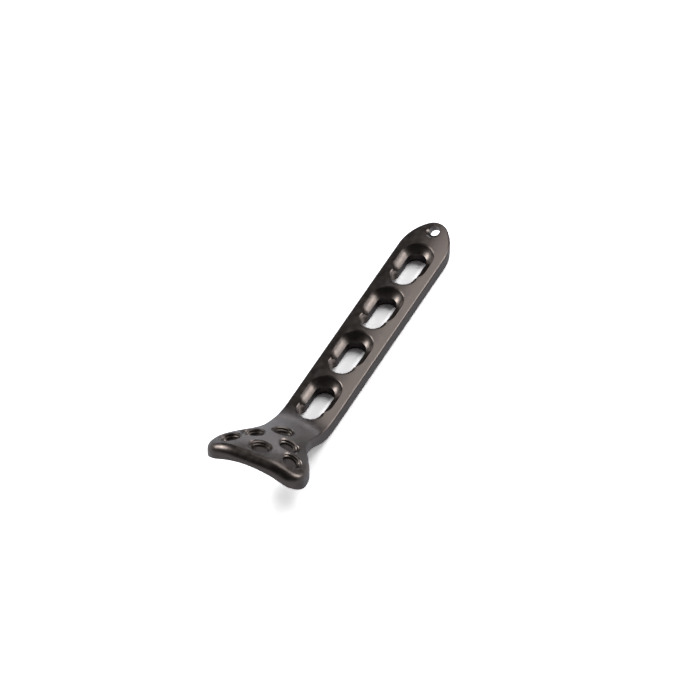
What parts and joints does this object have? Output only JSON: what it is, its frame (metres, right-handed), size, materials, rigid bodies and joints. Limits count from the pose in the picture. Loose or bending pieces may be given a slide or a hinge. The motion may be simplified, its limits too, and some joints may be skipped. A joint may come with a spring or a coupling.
{
  "type": "bone plate",
  "caption": "Orthopedic bone plate: straight shaft with combination slots, bent neck and wide saddle head with leaning tapered locking holes.",
  "frame": {"origin": "midway between the front edge of the head and the nose of the shaft, on the middle line, at the height of the shaft's long lower edges", "axes": "+X from the head along the shaft to the nose, +Y across the plate to the left seen from the head, +Z away from the bone"},
  "size_m": [0.0794, 0.0198, 0.0144],
  "materials": {
    "titanium": "satin, dark anodised titanium"
  },
  "bodies": {
    "root": {"bone_plate": "titanium"}
  },
  "joints": []
}
